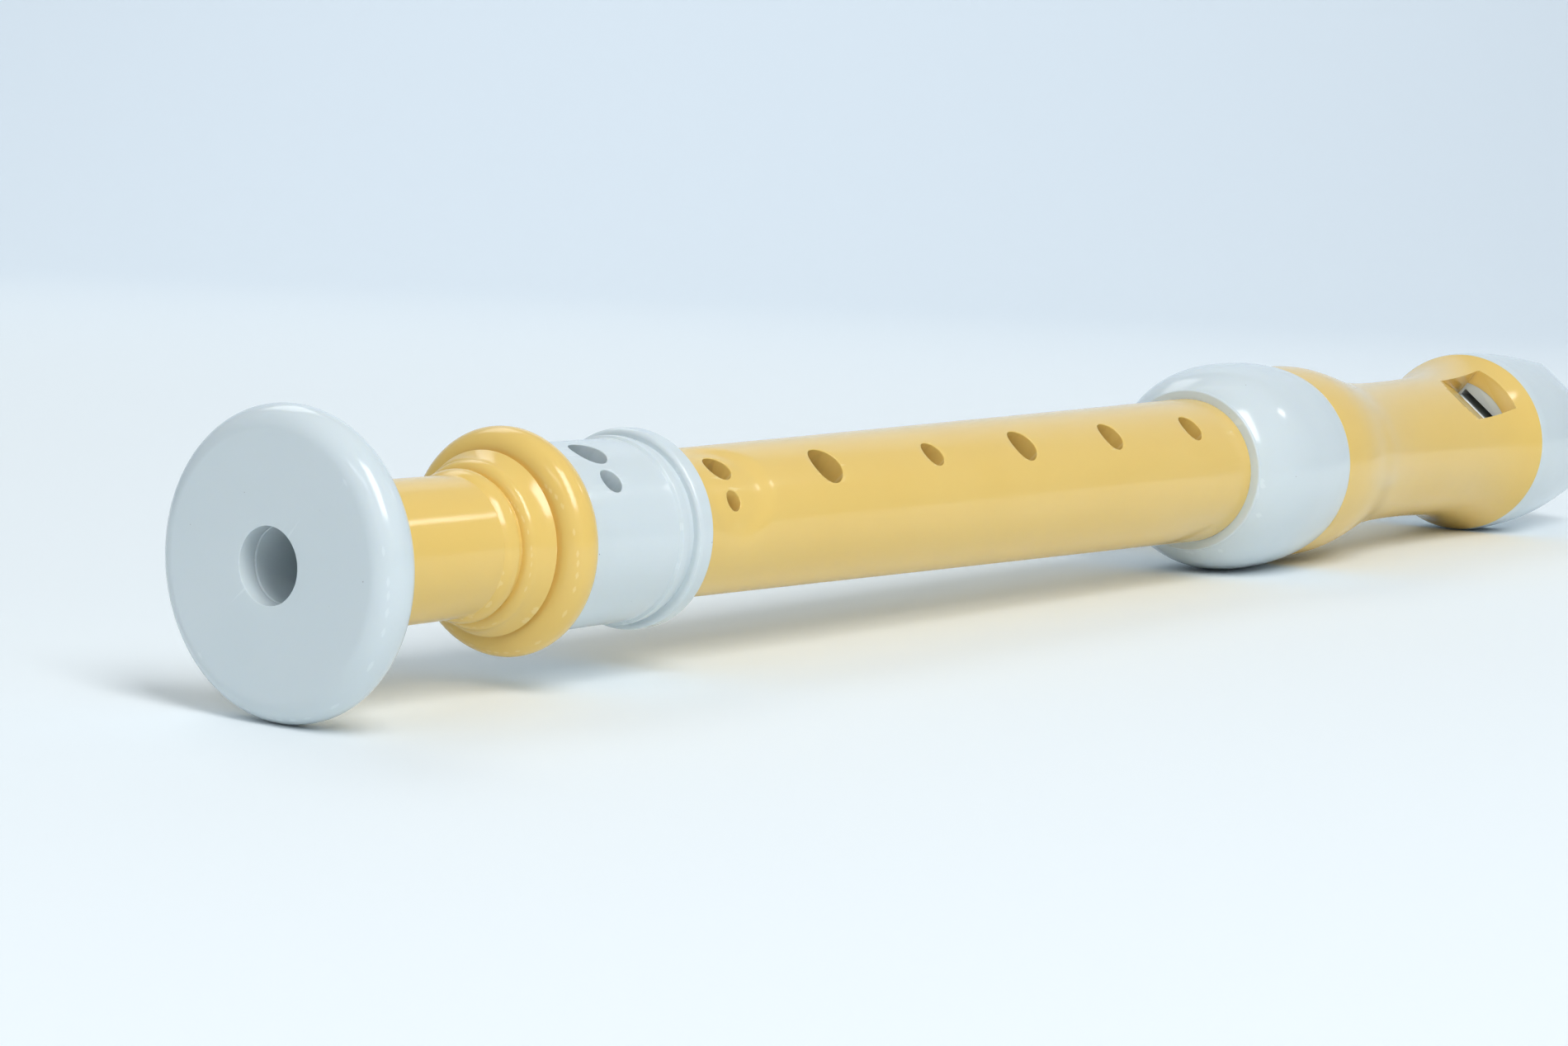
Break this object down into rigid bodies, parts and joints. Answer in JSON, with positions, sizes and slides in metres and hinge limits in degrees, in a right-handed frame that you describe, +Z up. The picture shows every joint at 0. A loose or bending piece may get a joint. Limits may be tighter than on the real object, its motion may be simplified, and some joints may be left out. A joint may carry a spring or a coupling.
{
  "type": "soprano recorder",
  "caption": "Straight soprano recorder of turned plastic joints, with a beak mouthpiece, finger holes and a flared bell disc.",
  "frame": {"origin": "centre of the bell's flat end face, on the bore axis", "axes": "+X along the bore from the bell to the beak's tip, +Z up with the recorder lying on its side, finger holes rolled about 44 degrees towards -Y"},
  "size_m": [0.33, 0.0314, 0.0314],
  "materials": {
    "white_plastic": "gloss",
    "yellow_plastic": "gloss",
    "block_plastic": "satin"
  },
  "bodies": {
    "middle": {"middle_body": "yellow_plastic"},
    "barrel": {"barrel_ring": "white_plastic"},
    "head": {"head_body": "yellow_plastic", "windway_block": "block_plastic", "beak_cap": "white_plastic"},
    "foot_ring": {"foot_shell": "yellow_plastic", "bell_disc": "white_plastic"},
    "foot": {"foot_body": "white_plastic"}
  },
  "joints": [
    {"name": "head_pull", "type": "slide", "parent": "middle", "child": "barrel", "axis": [1, 0, 0], "range_m": [0, 0.03]},
    {"name": "head_turn", "type": "hinge", "parent": "barrel", "child": "head", "pos_m": [0.204, 0, 0], "axis": [1, 0, 0], "continuous": true},
    {"name": "foot_pull", "type": "slide", "parent": "middle", "child": "foot_ring", "axis": [-1, 0, 0], "range_m": [0, 0.02]},
    {"name": "foot_turn", "type": "hinge", "parent": "foot_ring", "child": "foot", "pos_m": [0.045, 0, 0], "axis": [1, 0, 0], "continuous": true}
  ]
}
